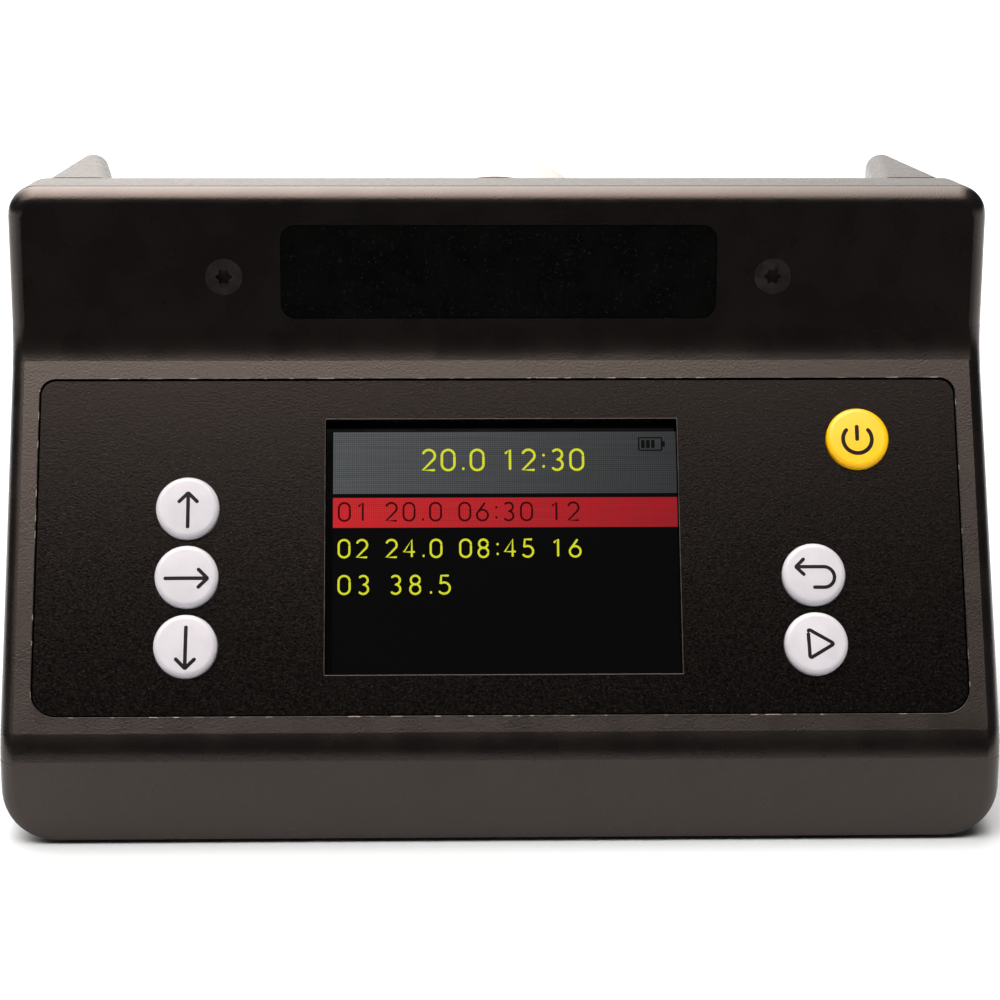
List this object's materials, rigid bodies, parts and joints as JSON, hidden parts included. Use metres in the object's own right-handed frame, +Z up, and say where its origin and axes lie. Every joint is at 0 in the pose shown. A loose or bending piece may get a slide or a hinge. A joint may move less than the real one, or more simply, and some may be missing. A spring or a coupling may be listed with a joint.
{
  "type": "film processor",
  "caption": "Desk-top film processor: a reclined black console with screen and push buttons, and behind it a motor-driven hub over a roller cradle between two tapered cheeks.",
  "frame": {"origin": "middle of the bounding box in plan, on the floor under the feet", "axes": "+X across the console to the user's right, +Y from the front panel to the back along the spindle, +Z up"},
  "size_m": [0.165, 0.1162, 0.1032],
  "materials": {
    "case_black": "fine-textured satin black",
    "rubber_black": "matte",
    "overlay_black": "matte black with fine metal flake",
    "screen_glass": "clear over a dark display",
    "moulded_black": "moulded",
    "board_green": "solder resist",
    "cap_white": "satin white",
    "cap_yellow": "satin yellow",
    "hub_white": "smooth white",
    "gear_white": "natural nylon",
    "bright_steel": "zinc plated or ground",
    "black_steel": "black oxide",
    "plate_aluminium": "milled",
    "brass": "turned",
    "cell_sleeve": "sleeved cell"
  },
  "bodies": {
    "console": {"front_casing": "case_black", "rear_cover": "case_black", "saddle": "case_black", "cheek_left": "case_black", "cheek_right": "case_black", "seam_gasket": "rubber_black", "shaft_seal": "rubber_black", "cheek_pads": "rubber_black", "feet": "rubber_black", "control_overlay": "overlay_black", "name_plate": "overlay_black", "display_glass": "screen_glass", "display_frame": "moulded_black", "board_chips": "moulded_black", "buzzer": "moulded_black", "tact_switches": "moulded_black", "battery_tray": "moulded_black", "probe_holder": "moulded_black", "power_inlet": "moulded_black", "control_board": "board_green", "board_screws": "bright_steel", "case_screws": "bright_steel", "plate_screws": "bright_steel", "spindle_bearing": "bright_steel", "idler_pin": "bright_steel", "gear_motor": "bright_steel", "motor_screws": "bright_steel", "probe_tube": "bright_steel", "cheek_screws": "bright_steel", "saddle_screws": "bright_steel", "bracket_screws": "bright_steel", "roller_axles": "bright_steel", "inlet_nut": "bright_steel", "header_screws": "black_steel", "side_screws": "black_steel", "bracket_left": "black_steel", "bracket_right": "black_steel", "drive_plate": "plate_aluminium", "spindle_bush": "brass", "battery_cells": "cell_sleeve"},
    "spindle": {"spindle_shaft": "bright_steel", "spindle_gear": "gear_white", "tank_hub": "hub_white", "hub_nut": "bright_steel"},
    "idler": {"idler_gear": "gear_white"},
    "pinion": {"motor_shaft": "bright_steel", "motor_pinion": "brass"},
    "left_roller": {"roller_left": "cap_white", "tyre_left": "rubber_black"},
    "right_roller": {"roller_right": "cap_white", "tyre_right": "rubber_black"},
    "button_up_key": {"button_up": "cap_white"},
    "button_select_key": {"button_select": "cap_white"},
    "button_down_key": {"button_down": "cap_white"},
    "button_power_key": {"button_power": "cap_yellow"},
    "button_back_key": {"button_back": "cap_white"},
    "button_start_key": {"button_start": "cap_white"}
  },
  "joints": [
    {"name": "spindle_spin", "type": "hinge", "parent": "console", "child": "spindle", "pos_m": [0, 0, 0.0767], "axis": [0, 1, 0], "continuous": true},
    {"name": "idler_spin", "type": "hinge", "parent": "console", "child": "idler", "pos_m": [0.02819, 0, 0.04311], "axis": [0, 1, 0], "continuous": true},
    {"name": "pinion_spin", "type": "hinge", "parent": "console", "child": "pinion", "pos_m": [0.04983, 0, 0.01734], "axis": [0, 1, 0], "continuous": true},
    {"name": "left_roller_spin", "type": "hinge", "parent": "console", "child": "left_roller", "pos_m": [-0.03386, 0.0297, 0.03336], "axis": [0, 1, 0], "continuous": true},
    {"name": "right_roller_spin", "type": "hinge", "parent": "console", "child": "right_roller", "pos_m": [0.03386, 0.0297, 0.03336], "axis": [0, 1, 0], "continuous": true},
    {"name": "button_up_press", "type": "slide", "parent": "console", "child": "button_up_key", "axis": [0, 0.866, -0.5], "range_m": [0, 0.0008], "stiffness_N_per_m": 1200},
    {"name": "button_select_press", "type": "slide", "parent": "console", "child": "button_select_key", "axis": [0, 0.866, -0.5], "range_m": [0, 0.0008], "stiffness_N_per_m": 1200},
    {"name": "button_down_press", "type": "slide", "parent": "console", "child": "button_down_key", "axis": [0, 0.866, -0.5], "range_m": [0, 0.0008], "stiffness_N_per_m": 1200},
    {"name": "button_power_press", "type": "slide", "parent": "console", "child": "button_power_key", "axis": [0, 0.866, -0.5], "range_m": [0, 0.0008], "stiffness_N_per_m": 1200},
    {"name": "button_back_press", "type": "slide", "parent": "console", "child": "button_back_key", "axis": [0, 0.866, -0.5], "range_m": [0, 0.0008], "stiffness_N_per_m": 1200},
    {"name": "button_start_press", "type": "slide", "parent": "console", "child": "button_start_key", "axis": [0, 0.866, -0.5], "range_m": [0, 0.0008], "stiffness_N_per_m": 1200}
  ],
  "couplings": [
    {"joint": "idler_spin", "follows": "spindle_spin", "ratio": -0.72},
    {"joint": "pinion_spin", "follows": "spindle_spin", "ratio": 2.25}
  ]
}
